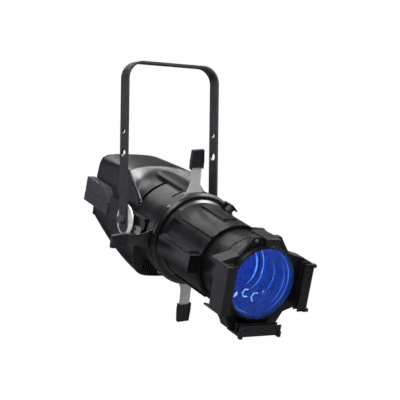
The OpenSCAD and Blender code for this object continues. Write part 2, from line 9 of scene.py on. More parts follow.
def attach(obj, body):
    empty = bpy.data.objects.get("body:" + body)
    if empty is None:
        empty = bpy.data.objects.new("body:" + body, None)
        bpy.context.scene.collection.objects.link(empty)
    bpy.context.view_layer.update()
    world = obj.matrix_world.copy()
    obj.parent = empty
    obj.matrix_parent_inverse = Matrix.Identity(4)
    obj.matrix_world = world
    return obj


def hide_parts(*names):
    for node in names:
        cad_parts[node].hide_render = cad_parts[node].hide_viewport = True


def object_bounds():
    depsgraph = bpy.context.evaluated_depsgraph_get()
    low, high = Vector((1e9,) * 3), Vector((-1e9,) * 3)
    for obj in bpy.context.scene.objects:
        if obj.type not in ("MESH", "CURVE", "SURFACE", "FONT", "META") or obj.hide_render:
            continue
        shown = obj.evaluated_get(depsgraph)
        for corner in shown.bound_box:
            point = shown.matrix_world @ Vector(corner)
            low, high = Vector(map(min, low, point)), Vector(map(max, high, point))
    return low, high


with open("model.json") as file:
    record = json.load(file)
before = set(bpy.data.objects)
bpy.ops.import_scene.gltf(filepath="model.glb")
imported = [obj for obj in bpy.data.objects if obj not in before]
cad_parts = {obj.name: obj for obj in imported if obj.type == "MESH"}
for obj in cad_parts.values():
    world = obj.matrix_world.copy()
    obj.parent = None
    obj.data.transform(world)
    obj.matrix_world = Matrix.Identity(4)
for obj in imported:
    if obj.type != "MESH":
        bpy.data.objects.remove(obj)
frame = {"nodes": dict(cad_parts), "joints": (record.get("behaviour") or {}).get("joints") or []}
cad_low, cad_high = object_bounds()

# ------------------------------------------------------------------ frames
# The head frame has x to the right, y up and z forward along the beam, with its
# origin on the tilt pivot.  The beam frame is the same, moved up onto the beam's
# axis, and the barrel frame is turned with the shutter barrel.  Lengths in all
# three are millimetres.

MM = 0.001
JOINTS = {joint["name"]: joint for joint in frame["joints"]}
PIVOT = Vector(JOINTS["tilt"]["pos_m"])
FORWARD = Vector(JOINTS["barrel_rotation"]["axis"]).normalized()
RIGHT = Vector((1, 0, 0))
UP = FORWARD.cross(RIGHT)
HEAD = Matrix.Translation(PIVOT) @ Matrix((RIGHT, UP, FORWARD)).transposed().to_4x4()
AXIS_UP = (Vector(JOINTS["barrel_rotation"]["pos_m"]) - PIVOT).dot(UP) / MM
BEAM = HEAD @ Matrix.Translation((0, AXIS_UP * MM, 0))
LOCK_AXIS = Vector(JOINTS["focus_lock"]["axis"])
BARREL_ROLL = math.atan2(LOCK_AXIS.dot(UP), LOCK_AXIS.dot(RIGHT))
BARREL = BEAM @ Matrix.Rotation(BARREL_ROLL, 4, "Z")


def span(node, place=HEAD):
    """Lowest and highest corner of a CAD node in one of the frames above, in millimetres."""
    back = place.inverted()
    points = [back @ v.co / MM for v in frame["nodes"][node].data.vertices]
    return (Vector([min(p[i] for p in points) for i in range(3)]),
            Vector([max(p[i] for p in points) for i in range(3)]))


SHELL_LOW, SHELL_HIGH = span("upper_shell")
HOUSE_X = SHELL_HIGH.x
HOUSE_TOP = SHELL_HIGH.y
HOUSE_REAR = SHELL_LOW.z
HOUSE_FRONT = SHELL_HIGH.z
SPLIT = SHELL_LOW.y
HOUSE_BOTTOM = span("lower_shell")[0].y

COLLAR_R = 85.0
COLLAR_END = span("front_cowl", BEAM)[1].z
LENS_LOW, LENS_HIGH = span("front_lens", BARREL)
LENS_R = LENS_HIGH.x
LENS_S = LENS_LOW.z


# ------------------------------------------------------------------ meshes

def new_object(name, mesh, place, body, material):
    """Puts a mesh that is built in millimetres into the scene, riding on a CAD body."""
    mesh.transform(place @ Matrix.Scale(MM, 4))
    obj = bpy.data.objects.new(name, mesh)
    bpy.context.scene.collection.objects.link(obj)
    obj.data.materials.append(material)
    for face in mesh.polygons:
        face.use_smooth = True
    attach(obj, body)
    return obj


def mesh_from(name, points, faces):
    """Mesh with points in one place joined and its faces all turned the same way out."""
    mesh = bpy.data.meshes.new(name)
    mesh.from_pydata([tuple(p) for p in points], [], faces)
    mesh.validate()
    build = bmesh.new()
    build.from_mesh(mesh)
    bmesh.ops.remove_doubles(build, verts=build.verts, dist=1e-4)
    bmesh.ops.recalc_face_normals(build, faces=build.faces)
    build.to_mesh(mesh)
    build.free()
    return mesh


def lathe(name, profile, turns=128):
    """Closed ring or disc turned round z from a closed outline of (radius, z) points."""
    points, faces = [], []
    count = len(profile)
    for i in range(turns):
        a = 2 * math.pi * i / turns
        points += [(r * math.sin(a), r * math.cos(a), z) for r, z in profile]
    for i in range(turns):
        for k in range(count):
            a, b = i * count + k, i * count + (k + 1) % count
            c, d = ((i + 1) % turns) * count + (k + 1) % count, ((i + 1) % turns) * count + k
            faces.append((a, b, c, d))
    return mesh_from(name, points, faces)


def grid_mesh(name, rows):
    """Open surface through rows of points, each row with the same number of points."""
    width = len(rows[0])
    points = [p for row in rows for p in row]
    faces = [(r * width + c, r * width + c + 1, (r + 1) * width + c + 1, (r + 1) * width + c)
             for r in range(len(rows) - 1) for c in range(width - 1)]
    return mesh_from(name, points, faces)


def bevel(obj, width_mm, segments=3, angle=30):
    """Rounds an object's sharp edges; flat faces keep their shading."""
    modifier = obj.modifiers.new("round_edges", "BEVEL")
    modifier.width = width_mm * MM
    modifier.segments = segments
    modifier.limit_method = "ANGLE"
    modifier.angle_limit = math.radians(angle)
    modifier.use_clamp_overlap = True
    normals = obj.modifiers.new("flat_faces", "WEIGHTED_NORMAL")
    normals.keep_sharp = False


def subdivide(obj, levels):
    modifier = obj.modifiers.new("smooth", "SUBSURF")
    modifier.levels = levels
    modifier.render_levels = levels


def thicken(obj, thickness_mm):
    modifier = obj.modifiers.new("wall", "SOLIDIFY")
    modifier.thickness = thickness_mm * MM
    modifier.offset = -1
    modifier.use_even_offset = False


def finish_cad(node, material, width_mm):
    """Gives a CAD node its material and slightly rounded edges."""
    obj = frame["nodes"][node]
    obj.data.materials.clear()
    obj.data.materials.append(material)
    weld = obj.modifiers.new("join_faces", "WELD")
    weld.merge_threshold = 0.00001
    flat = obj.modifiers.new("merge_flat", "DECIMATE")
    flat.decimate_type = "DISSOLVE"
    flat.angle_limit = math.radians(0.6)
    bevel(obj, width_mm, 2, 32)


# ------------------------------------------------------------------ materials

class Paint:
    """A principled material and short names for wiring nodes into it."""

    def __init__(self, name, color, metallic, roughness):
        self.material = bpy.data.materials.new(name)
        self.material.use_nodes = True
        self.tree = self.material.node_tree
        self.shader = self.tree.nodes["Principled BSDF"]
        self.shader.inputs["Base Color"].default_value = (*color, 1)
        self.shader.inputs["Metallic"].default_value = metallic
        self.shader.inputs["Roughness"].default_value = roughness
        self.where = self.node("ShaderNodeTexCoord").outputs["Object"]

    def node(self, kind, **settings):
        made = self.tree.nodes.new(kind)
        for key, value in settings.items():
            setattr(made, key, value)
        return made

    def link(self, source, target):
        self.tree.links.new(source, target)

    def noise(self, scale, detail, stretch=(1, 1, 1), rough=0.55):
        mapping = self.node("ShaderNodeMapping")
        mapping.inputs["Scale"].default_value = stretch
        self.link(self.where, mapping.inputs["Vector"])
        noise = self.node("ShaderNodeTexNoise")
        noise.inputs["Scale"].default_value = scale
        noise.inputs["Detail"].default_value = detail
        noise.inputs["Roughness"].default_value = rough
        self.link(mapping.outputs["Vector"], noise.inputs["Vector"])
        return noise.outputs["Fac"]

    def ramp(self, source, stops):
        ramp = self.node("ShaderNodeValToRGB")
        elements = ramp.color_ramp.elements
        while len(elements) < len(stops):
            elements.new(0.5)
        for element, (place, color) in zip(elements, stops):
            element.position = place
            element.color = (*color, 1) if hasattr(color, "__len__") else (color, color, color, 1)
        self.link(source, ramp.inputs["Fac"])
        return ramp.outputs["Color"]

    def mix(self, amount, first, second, blend="MIX"):
        mix = self.node("ShaderNodeMix", data_type="RGBA", blend_type=blend)
        for value, socket in ((amount, mix.inputs[0]), (first, mix.inputs[6]), (second, mix.inputs[7])):
            if isinstance(value, bpy.types.NodeSocket):
                self.link(value, socket)
            elif hasattr(value, "__len__"):
                socket.default_value = (*value, 1)
            else:
                socket.default_value = value
        return mix.outputs[2]

    def vector(self, operation, first, second=None, scale=None):
        made = self.node("ShaderNodeVectorMath", operation=operation)
        sockets = (made.inputs[0], made.inputs[1], made.inputs[3])
        for value, socket in zip((first, second, scale), sockets):
            if isinstance(value, bpy.types.NodeSocket):
                self.link(value, socket)
            elif value is not None:
                socket.default_value = value
        return made.outputs["Value" if operation == "DOT_PRODUCT" else "Vector"]

    def round_normal(self, centre, axis):
        """Normal that treats faces lying round an axis as one true cylinder."""
        geometry = self.node("ShaderNodeNewGeometry")
        offset = self.vector("SUBTRACT", self.where, centre)
        along = self.vector("DOT_PRODUCT", offset, axis)
        radial = self.vector("SUBTRACT", offset, self.vector("SCALE", axis, scale=along))
        turned = self.node("ShaderNodeVectorTransform", vector_type="NORMAL",
                           convert_from="OBJECT", convert_to="WORLD")
        self.link(self.vector("NORMALIZE", radial), turned.inputs[0])
        match = self.vector("DOT_PRODUCT", turned.outputs[0], geometry.outputs["True Normal"])
        step = self.ramp(match, [(0.965, 0.0), (0.985, 1.0)])
        mix = self.node("ShaderNodeMix", data_type="VECTOR")
        self.link(step, mix.inputs[0])
        self.link(geometry.outputs["Normal"], mix.inputs[4])
        self.link(turned.outputs[0], mix.inputs[5])
        return self.vector("NORMALIZE", mix.outputs[1])

    def bump(self, height, strength, distance_mm, normal=None):
        bump = self.node("ShaderNodeBump")
        bump.inputs["Strength"].default_value = strength
        bump.inputs["Distance"].default_value = distance_mm * MM
        self.link(height, bump.inputs["Height"])
        if normal is not None:
            self.link(normal, bump.inputs["Normal"])
        self.link(bump.outputs["Normal"], self.shader.inputs["Normal"])

    def edge(self):
        """Bright along edges, dark elsewhere."""
        width_mm = 1.0
        geometry = self.node("ShaderNodeNewGeometry")
        rounded = self.node("ShaderNodeBevel", samples=4)
        rounded.inputs["Radius"].default_value = width_mm * MM
        turn = self.vector("DOT_PRODUCT", geometry.outputs["Normal"], rounded.outputs["Normal"])
        return self.ramp(turn, [(0.80, 1.0), (0.97, 0.0)])


def coated(name, color, worn, roughness, wear=0.5, turned=False):
    """Painted or powder-coated surface: fine grain, mottled gloss and rubbed edges."""
    blotch, grain, grain_strength = 0.2, 700, 0.3
    paint = Paint(name, color, 0.0, roughness)
    mottle = paint.noise(38, 5)
    lighter = [c * (1 + blotch) + 0.002 for c in color]
    darker = [c * (1 - blotch) for c in color]
    body = paint.ramp(mottle, [(0.35, darker), (0.65, lighter)])
    scuffs = paint.ramp(paint.noise(160, 6, rough=0.7), [(0.5, 0.0), (0.72, 1.0)])
    rubbed = paint.mix(paint.edge(), (0, 0, 0), scuffs)
    faded = paint.mix(wear, (0, 0, 0), rubbed)
    paint.link(paint.mix(faded, body, worn), paint.shader.inputs["Base Color"])
    gloss = paint.ramp(paint.noise(70, 6), [(0.3, roughness - 0.03), (0.7, roughness + 0.04)])
    paint.link(gloss, paint.shader.inputs["Roughness"])
    normal = paint.round_normal(BEAM.translation, FORWARD) if turned else None
    paint.bump(paint.noise(grain, 6, rough=0.7), grain_strength, 0.5, normal)
    return paint.material


def plastic(name, color, roughness):
    """Moulded plastic with a very fine grain."""
    grain = 1500
    paint = Paint(name, color, 0.0, roughness)
    darker = [c * 0.8 for c in color]
    lighter = [c * 1.25 + 0.002 for c in color]
    tint = paint.ramp(paint.noise(60, 4), [(0.35, darker), (0.65, lighter)])
    paint.link(tint, paint.shader.inputs["Base Color"])
    gloss = paint.ramp(paint.noise(140, 5), [(0.3, roughness - 0.06), (0.7, roughness + 0.1)])
    paint.link(gloss, paint.shader.inputs["Roughness"])
    paint.bump(paint.noise(grain, 2), 0.15, 0.08)
    return paint.material


def bare_metal(name, color, roughness, stretch=(1, 1, 1), smudge=0.25, metallic=1.0):
    """Brushed or cast metal; stretch sets the way the brush lines run."""
    lines = 900
    paint = Paint(name, color, metallic, roughness)
    brushed = paint.noise(lines, 3, stretch)
    darker = [c * 0.82 for c in color]
    lighter = [min(1, c * 1.1) for c in color]
    tint = paint.ramp(brushed, [(0.3, darker), (0.7, lighter)])
    dirt = paint.ramp(paint.noise(55, 6, rough=0.65), [(0.45, 0.0), (0.75, 1.0)])
    dull = paint.mix(smudge, (0, 0, 0), dirt)
    paint.link(paint.mix(dull, tint, [c * 0.45 for c in color]), paint.shader.inputs["Base Color"])
    gloss = paint.ramp(brushed, [(0.25, roughness - 0.08), (0.75, roughness + 0.1)])
    paint.link(gloss, paint.shader.inputs["Roughness"])
    paint.bump(brushed, 0.12, 0.05)
    return paint.material


def circuit_board(name, color):
    """Board with a faint pattern of tracks."""
    paint = Paint(name, color, 0.0, 0.35)
    tracks = paint.node("ShaderNodeTexBrick")
    tracks.inputs["Scale"].default_value = 180
    paint.link(paint.where, tracks.inputs["Vector"])
    tracks.inputs["Color1"].default_value = (*color, 1)
    tracks.inputs["Color2"].default_value = (*[c * 0.75 for c in color], 1)
    tracks.inputs["Mortar"].default_value = (*[min(1, c * 1.8 + 0.02) for c in color], 1)
    paint.link(tracks.outputs["Color"], paint.shader.inputs["Base Color"])
    paint.bump(tracks.outputs["Fac"], 0.2, 0.05)
    return paint.material


def lit(name, dark, bright, strength, scale):
    """Surface that glows with an uneven light."""
    paint = Paint(name, dark, 0.0, 0.3)
    glow = paint.ramp(paint.noise(scale, 5), [(0.35, dark), (0.65, bright)])
    paint.link(glow, paint.shader.inputs["Emission Color"])
    paint.shader.inputs["Emission Strength"].default_value = strength
    return paint.material


def lens_glass(name, color, painted_glow_color):
    """Clear glass with a faint painted glow in it, which stands in for the emitters' blue light scattered in
    the glass, and a hard reflective face.
    """
    paint = Paint(name, color, 0.0, 0.03)
    paint.shader.inputs["Transmission Weight"].default_value = 1.0
    paint.shader.inputs["IOR"].default_value = 1.02
    paint.shader.inputs["Coat Weight"].default_value = 0.6
    paint.shader.inputs["Coat Roughness"].default_value = 0.04
    # Painted glow: speckled blue emission that stands in for the emitters' light scattered in the glass.
    painted_glow_speckle = paint.ramp(paint.noise(300, 8, rough=0.9), [(0.50, [c * 0.06 for c in painted_glow_color]), (0.60, painted_glow_color)])
    paint.link(painted_glow_speckle, paint.shader.inputs["Emission Color"])
    paint.shader.inputs["Emission Strength"].default_value = 1.0
    return paint.material


CASTING = coated("casting_black", (0.006, 0.006, 0.007), (0.09, 0.09, 0.10), 0.29)
TURNED = coated("casting_turned", (0.006, 0.006, 0.007), (0.09, 0.09, 0.10), 0.29, turned=True)
HOUSING = coated("housing_black", (0.008, 0.008, 0.010), (0.10, 0.10, 0.11), 0.33)
POD = coated("pod_grey", (0.040, 0.038, 0.047), (0.12, 0.12, 0.13), 0.42)
YOKE = coated("yoke_black", (0.022, 0.022, 0.026), (0.20, 0.20, 0.21), 0.40, wear=0.3)
SHEET = coated("sheet_black", (0.012, 0.012, 0.015), (0.16, 0.16, 0.17), 0.36, wear=0.35)
CLIP = coated("clip_black", (0.016, 0.016, 0.018), (0.25, 0.25, 0.26), 0.30, wear=0.8)
PLATE = coated("plate_grey", (0.26, 0.26, 0.28), (0.50, 0.50, 0.52), 0.45)
KNOB = plastic("knob_black", (0.014, 0.014, 0.015), 0.5)
GRIP = plastic("grip_plastic", (0.018, 0.018, 0.026), 0.42)
BUSH = plastic("bush_black", (0.012, 0.012, 0.012), 0.35)
WHITE = plastic("friction_white", (0.80, 0.80, 0.78), 0.5)
GLOSSY = plastic("glossy_black", (0.010, 0.010, 0.012), 0.18)
BLUE = plastic("inlet_blue", (0.020, 0.060, 0.330), 0.3)
GREY = plastic("outlet_grey", (0.300, 0.300, 0.320), 0.35)
STEEL = bare_metal("blade_steel", (0.92, 0.92, 0.91), 0.45, (1, 1, 0.04), metallic=0.2)
DARK_STEEL = bare_metal("blade_dark", (0.16, 0.16, 0.165), 0.40, (0.04, 1, 1))
ZINC = bare_metal("zinc_screw", (0.42, 0.42, 0.44), 0.32, smudge=0.5)
BOLT = bare_metal("bolt_dark", (0.16, 0.16, 0.17), 0.35, smudge=0.5)
SPRING = bare_metal("spring_bright", (0.72, 0.72, 0.74), 0.22)
ALUMINIUM = bare_metal("aluminium_bare", (0.70, 0.70, 0.72), 0.38)
MIRROR = bare_metal("optic_mirror", (0.85, 0.87, 0.90), 0.10, smudge=0.1)
BOARD = circuit_board("board_green", (0.030, 0.150, 0.060))
WHITE_BOARD = circuit_board("board_white", (0.75, 0.75, 0.72))
EMITTER = lit("emitter_blue", (0.02, 0.10, 0.9), (0.3, 0.6, 1.0), 6.0, 600)
DISPLAY = lit("display_glow", (0.004, 0.010, 0.02), (0.010, 0.03, 0.06), 1.0, 90)
# Both lenses carry a painted blue glow in their emission.
FRONT_GLASS = lens_glass("lens_front_glass", (0.55, 0.70, 1.0), (0.014, 0.055, 0.24))
REAR_GLASS = lens_glass("lens_rear_glass", (0.15, 0.30, 1.0), (0.002, 0.010, 0.10))


def glow_liner_material():
    """Blue light on the inside of the lens tube, stronger on its right-hand side."""
    paint = Paint("liner_glow", (0.01, 0.02, 0.10), 0.0, 0.4)
    split = paint.node("ShaderNodeSeparateXYZ")
    paint.link(paint.where, split.inputs["Vector"])
    side = paint.node("ShaderNodeMapRange")
    side.inputs["From Min"].default_value = -LENS_R * MM
    side.inputs["From Max"].default_value = LENS_R * MM
    paint.link(split.outputs["X"], side.inputs["Value"])
    base = paint.ramp(side.outputs["Result"], [(0.0, (0.001, 0.004, 0.07)), (0.55, (0.002, 0.010, 0.14)),
                                               (1.0, (0.003, 0.022, 0.24))])
    sparkle = paint.ramp(paint.noise(260, 8, rough=0.8), [(0.42, 0.15), (0.66, 1.6)])
    paint.link(paint.mix(1.0, base, sparkle, "MULTIPLY"), paint.shader.inputs["Emission Color"])
    paint.shader.inputs["Emission Strength"].default_value = 1.0
    return paint.material


# ------------------------------------------------------------------ lamp housing
# The housing's skins pass through columns of points that run from the rear rim
# forward to a ridge at the front edge, and from there down to the collar.

REAR_GAP = 3.3
SKIN = 2.6
RIDGE_SUPPORT = 1.3
COWL_R = COLLAR_R - 2
SIDE_R = COLLAR_R + 0.4
GROOVE = 7.5
COWL_COLUMNS = 9
SPLIT_COLUMN = 12
RIDGE_ROW = 8


def bezier(a, b, c, d, t):
    """Point at t, from 0 to 1, of the cubic curve with these four control points."""
    u = 1 - t
    return a * u ** 3 + b * 3 * u * u * t + c * 3 * u * t * t + d * t ** 3


def housing_columns():
    """Columns of the right half, from the top centre line to the bottom one: rear point,
    front-edge point, angle on the collar from the top, and the rise of the middle."""
    top, bottom, x, rear, front = HOUSE_TOP, HOUSE_BOTTOM, HOUSE_X, HOUSE_REAR, HOUSE_FRONT
    return [
        ((0, top - 5.5, rear), (0, top + 0.5, -77), 0, 0.5),
        ((20, top - 5.7, rear), (22, top + 0.3, -75), 14, 0.5),
        ((36, top - 6.3, rear), (40, top - 0.4, -70.5), 26, 0.5),
        ((50, top - 7.8, rear), (56, top - 1.6, -65), 36, 0.5),
        ((60, top - 10.2, rear), (68, top - 3.0, -61), 43, 0.5),
        ((68, top - 15.5, rear), (74.5, top - 5.5, -57.5), 48, 0.5),
        ((72.5, top - 23, rear), (x - 0.3, top - 9.5, -52), 52, 0.3),
        ((75, top - 33, rear + 1), (x, top - 18, -36), 56, 0),
        ((x - 0.5, top - 45, rear + 2), (x, top - 32, -9), 60, 0),
        ((x, top - 56, rear + 3.5), (x, 45, 9), 64, 0),
        ((x, 18, rear + 5), (x, 28, front), 71, 0),
        ((x, -2, rear + 7), (x, 0, front), 88, 0),
        ((x, SPLIT, rear + 9), (x, SPLIT, front), 104, 0),
        ((x, -33, rear + 10), (x, -56, front), 124, -1),
        ((x - 1, -43, rear + 11), (x - 1.5, -80, front), 137, -5),
        ((x - 6, -51, rear + 12), (x - 9, -100, front), 147, -9),
        ((60, -54, rear + 12), (51, bottom + 2, front), 157, -10.5),
        ((36, -54.5, rear + 12), (28, bottom, front), 168, -10.5),
        ((0, -54.5, rear + 12), (0, bottom, front), 180, -10.5)]


def housing_column(rear, front, angle, bulge, index):
    """Points of one column, from the rear rim over the front edge to the collar."""
    rear, front = Vector(rear), Vector(front)
    rear.z += REAR_GAP
    a = math.radians(angle)
    on_cowl = index < COWL_COLUMNS
    blend = 1.0 if on_cowl else (0.4 if index == COWL_COLUMNS else 0.0)
    radius = COWL_R if on_cowl else SIDE_R
    depth = HOUSE_FRONT * (1 - blend) - GROOVE * blend
    collar = Vector((radius * math.sin(a), AXIS_UP + radius * math.cos(a), depth))
    along = (front - rear).normalized()
    length = (front - rear).length

    def wall(t):
        return rear.lerp(front, t) + Vector((0, bulge * 4 * t * (1 - t), 0))

    # Points crowd together next to the rim and the ridge, to keep those edges crisp.
    body = [wall(t) for t in (0, 3 / length, 12 / length, 0.27, 0.5, 0.75)]
    body += [front - along * 6, front - along * RIDGE_SUPPORT]
    straight = (collar - front).normalized()
    reach = (collar - front).length
    drop = Vector((-0.25 * math.sin(a), -0.62, 0.78)) if on_cowl else straight
    level = Vector((0, 0, 1))
    lead = collar - level * reach * 0.55 * blend - straight * reach * 0.3 * (1 - blend)

    def face(t):
        return bezier(front, front + drop * reach * 0.28, lead, collar, t)

    body += [face(t) for t in (RIDGE_SUPPORT / reach, 5 / reach, 0.3, 0.5, 0.7, 0.85, 0.96, 1)]
    return body


def housing_piece(name, columns, first, last, rows):
    """One skin of the housing: columns first..last on both sides, and the given rows."""
    right = columns[first:last + 1]
    left = [[Vector((-p.x, p.y, p.z)) for p in column] for column in right]
    order = left[::-1][:-1] + right if first == 0 else right + left[::-1][1:]
    grid = [[column[r] for column in order] for r in rows]
    return grid_mesh(name, grid)


def make_skin(name, mesh):
    """Smooth sheet of the housing's wall."""
    obj = new_object(name, mesh, HEAD, "head", HOUSING)
    subdivide(obj, 3)
    thicken(obj, SKIN)
    return obj


def make_housing():
    columns = [housing_column(*column, index) for index, column in enumerate(housing_columns())]
    count = len(columns[0])
    last = len(columns) - 1
    parts = (
        ("upper_housing", 0, SPLIT_COLUMN, range(0, RIDGE_ROW + 1), "upper_shell"),
        ("lower_housing", SPLIT_COLUMN, last, range(0, count), "lower_shell"),
        ("cowl_skin", 0, COWL_COLUMNS, range(RIDGE_ROW, count), "front_cowl"))
    for name, low, high, rows, node in parts:
        skin = make_skin(name, housing_piece(name, columns, low, high, rows))
        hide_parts(node)
    # Side strips of the front face between the cowl and the lower shell.
    strip = columns[COWL_COLUMNS:SPLIT_COLUMN + 1]
    for side, name in ((1, "front_face_right"), (-1, "front_face_left")):
        grid = [[Vector((p[r].x * side, p[r].y, p[r].z)) for p in strip]
                for r in range(RIDGE_ROW, count)]
        make_skin(name, grid_mesh(name, grid))


def make_collar():
    """Ring round the beam, with a foot behind it that closes the groove under the cowl."""
    outer, front, chamfer = COLLAR_R, COLLAR_END - 0.2, 0.8
    bore, foot, foot_rear = 74, 77, -16
    step, step_front = outer - 4, 5
    lip, lip_rear = outer - 4.2, 13
    profile = [
        (bore, foot_rear), (foot, foot_rear), (foot, 0), (step, 0), (step, step_front),
        (outer - chamfer, step_front), (outer, step_front + chamfer),
        (outer, front - chamfer), (outer - chamfer, front),
        (lip, front), (lip, lip_rear), (bore, lip_rear)]
    mesh = lathe("cowl_collar", profile)
    collar = new_object("cowl_collar", mesh, BEAM, "head", HOUSING)
    bevel(collar, 0.5)


# The tongue lies along the top of the cowl and the collar.  Its rear end is a half
# circle, and two shallow slots run along its front part.
TONGUE_HALF = 24
TONGUE_REAR = -58
TONGUE_BEND = TONGUE_REAR + TONGUE_HALF
TONGUE_FOOT = COLLAR_R - 4
TONGUE_TOP = COLLAR_R + 6
TONGUE_ROUND = 3.5
SLOT_REAR, SLOT_FRONT, SLOT_DEPTH = 20, 52, 1.6
SLOT_SLOPE = 0.4


def tongue_height(x, s):
    """Share of the tongue's full height at a point, less where its edges are rounded."""
    inside = TONGUE_HALF - (abs(x) if s > TONGUE_BEND else math.hypot(x, s - TONGUE_BEND))
    if inside >= TONGUE_ROUND:
        return 1.0
    return math.sqrt(max(0.0, 1 - ((TONGUE_ROUND - inside) / TONGUE_ROUND) ** 2))


def tongue_row(s, columns):
    """Points across the tongue at distance s along the beam."""
    width = TONGUE_HALF
    if s <= TONGUE_BEND:
        width = math.sqrt(max(0.01, TONGUE_HALF ** 2 - (s - TONGUE_BEND) ** 2))
    row = []
    for x, in_slot in columns:
        across = x * width / TONGUE_HALF
        rise = tongue_height(across, s)
        if s > COLLAR_END - 0.5:
            rise *= 0.9
        depth = SLOT_DEPTH if in_slot and SLOT_REAR <= s <= SLOT_FRONT else 0
        r = TONGUE_FOOT + (TONGUE_TOP - TONGUE_FOOT) * rise - depth
        a = across / TONGUE_TOP
        row.append(Vector((r * math.sin(a), r * math.cos(a), s)))
    return row


def make_tongue():
    # Columns of the right half as (millimetres from the middle, lies in a slot).
    right = [(2, False), (4.6, False), (4.8, True), (7.2, True), (7.4, False), (15, False)]
    right += [(TONGUE_HALF * share, False) for share in (0.87, 0.92, 0.96, 0.985, 1)]
    columns = [(-x, in_slot) for x, in_slot in reversed(right)] + right
    stations = [TONGUE_BEND - TONGUE_HALF * math.cos(math.radians(a))
                for a in (0, 8, 16, 25, 35, 50, 70, 90)]
    stations += [-10, 5, SLOT_REAR - SLOT_SLOPE, SLOT_REAR, (SLOT_REAR + SLOT_FRONT) / 2,
                 SLOT_FRONT, SLOT_FRONT + SLOT_SLOPE, COLLAR_END - 2, COLLAR_END - 0.4, COLLAR_END]
    rows = [tongue_row(s, columns) for s in stations]
    end_wall = [Vector((p.x * 0.95, p.y * 0.95, p.z)) for p in rows[-1]]
    mesh = grid_mesh("cowl_tongue", rows + [end_wall])
    tongue = new_object("cowl_tongue", mesh, BEAM, "head", HOUSING)
    thicken(tongue, 2)
    bevel(tongue, 0.3, 2, 40)


def boxes_mesh(name, boxes):
    """Separate boxes in one mesh, each given by its lowest and highest corner."""
    points, faces = [], []
    for low, high in boxes:
        k = len(points)
        points += [(x, y, z) for z in (low[2], high[2]) for y in (low[1], high[1]) for x in (low[0], high[0])]
        faces += [(k, k + 2, k + 3, k + 1), (k + 4, k + 5, k + 7, k + 6), (k, k + 1, k + 5, k + 4),
                  (k + 2, k + 6, k + 7, k + 3), (k, k + 4, k + 6, k + 2), (k + 1, k + 3, k + 7, k + 5)]
    return mesh_from(name, points, faces)


def make_vent_fins():
    """Upright fins on the lower front face, under the collar."""
    pitch, half_width, length = 5, 1.3, 26
    base, flat_half, slope = 3, 30, 0.4
    back, front = HOUSE_FRONT - 2, HOUSE_FRONT + 4
    boxes = []
    for i in range(-9, 10):
        x = i * pitch
        under_collar = AXIS_UP - math.sqrt((COLLAR_R + 2) ** 2 - x * x)
        bottom = HOUSE_BOTTOM + base + max(0, abs(x) - flat_half) * slope
        top = min(under_collar, bottom + length)
        boxes.append(((x - half_width, bottom, back), (x + half_width, top, front)))
    mesh = boxes_mesh("vent_fins", boxes)
    fins = new_object("vent_fins", mesh, HEAD, "head", HOUSING)
    bevel(fins, 0.5, 2)


def make_arm_plates():
    """Light plate with a slot, on the outside of each pivot arm."""
    # Corners as (forward, up) from the tilt pivot.
    outline = [(25.5, -17.5), (48, -17.5), (51.5, 0.5), (25.5, -2.5)]
    slot = [(27, -10.8), (33, -10.8), (33, -5.2), (27, -5.2)]
    inner_x, outer_x = 91.8, 92.7
    faces = []
    for k in range(4):
        n = (k + 1) % 4
        faces += [(k, n, 4 + n, 4 + k), (8 + k, 8 + n, 12 + n, 12 + k)]
        faces += [(k, n, 8 + n, 8 + k), (4 + k, 4 + n, 12 + n, 12 + k)]
    for side, name in ((-1, "arm_plate_left"), (1, "arm_plate_right")):
        points = [(side * x, up, forward) for x in (inner_x, outer_x) for forward, up in outline + slot]
        plate = new_object(name, mesh_from(name, points, faces), HEAD, "head", PLATE)
        bevel(plate, 0.2, 2)


make_housing()
make_vent_fins()
make_arm_plates()
make_collar()
make_tongue()


# ------------------------------------------------------------------ lens and its glow

def lens_mesh(name, radius, back, edge, sag):
    """Plano-convex lens with a softly rounded rim."""
    steps = 24
    ball = (radius ** 2 + sag ** 2) / (2 * sag)
    half = math.asin(radius / ball)
    outline = [(0.01, back), (radius - 0.6, back), (radius, back + 0.6), (radius, back + edge - 0.4)]
    for i in range(1, steps + 1):
        a = half * (1 - i / steps)
        outline.append((max(0.01, ball * math.sin(a)), back + edge + sag - ball * (1 - math.cos(a))))
    return lathe(name, outline, 160)


def bar_mesh(name, points):
    """Closed bar through stations of four corner points each."""
    last = len(points) - 4
    faces = []
    for k in range(0, last, 4):
        faces += [(k + j, k + (j + 1) % 4, k + 4 + (j + 1) % 4, k + 4 + j) for j in range(4)]
    faces += [(0, 1, 2, 3), (last + 3, last + 2, last + 1, last)]
    return mesh_from(name, points, faces)


def arc_mesh(name, r, s, thick, first, last):
    """Thin curved bar on a circle round the beam, first to last degrees from the top, thin at its ends."""
    steps = 40
    points = []
    for i in range(steps + 1):
        t = i / steps
        a = math.radians(first + (last - first) * t)
        half = thick * (0.15 + 0.85 * math.sin(math.pi * t)) / 2
        for dr, ds in ((-half, -half), (half, -half), (half, half), (-half, half)):
            points.append(((r + dr) * math.sin(a), (r + dr) * math.cos(a), s + ds))
    return bar_mesh(name, points)


def glint_mesh(name, x, y, s, r, thick, first, last):
    """Open six-sided frame, as an emitter looks when it is mirrored in the lens."""
    corner = 60
    steps = max(1, round((last - first) / corner))
    points = []
    for i in range(steps + 1):
        a = math.radians(first + corner * i)
        for dr, ds in ((0, 0), (thick, 0), (thick, 1), (0, 1)):
            points.append((x + (r - dr) * math.sin(a), y + (r - dr) * math.cos(a), s + ds))
    return bar_mesh(name, points)


def make_front_lens():
    sag, edge = 4.0, 5.0
    mesh = lens_mesh("front_lens_glass", LENS_R, LENS_S, edge, sag)
    lens = new_object("front_lens_glass", mesh, BARREL, "lens", FRONT_GLASS)
    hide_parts("front_lens")


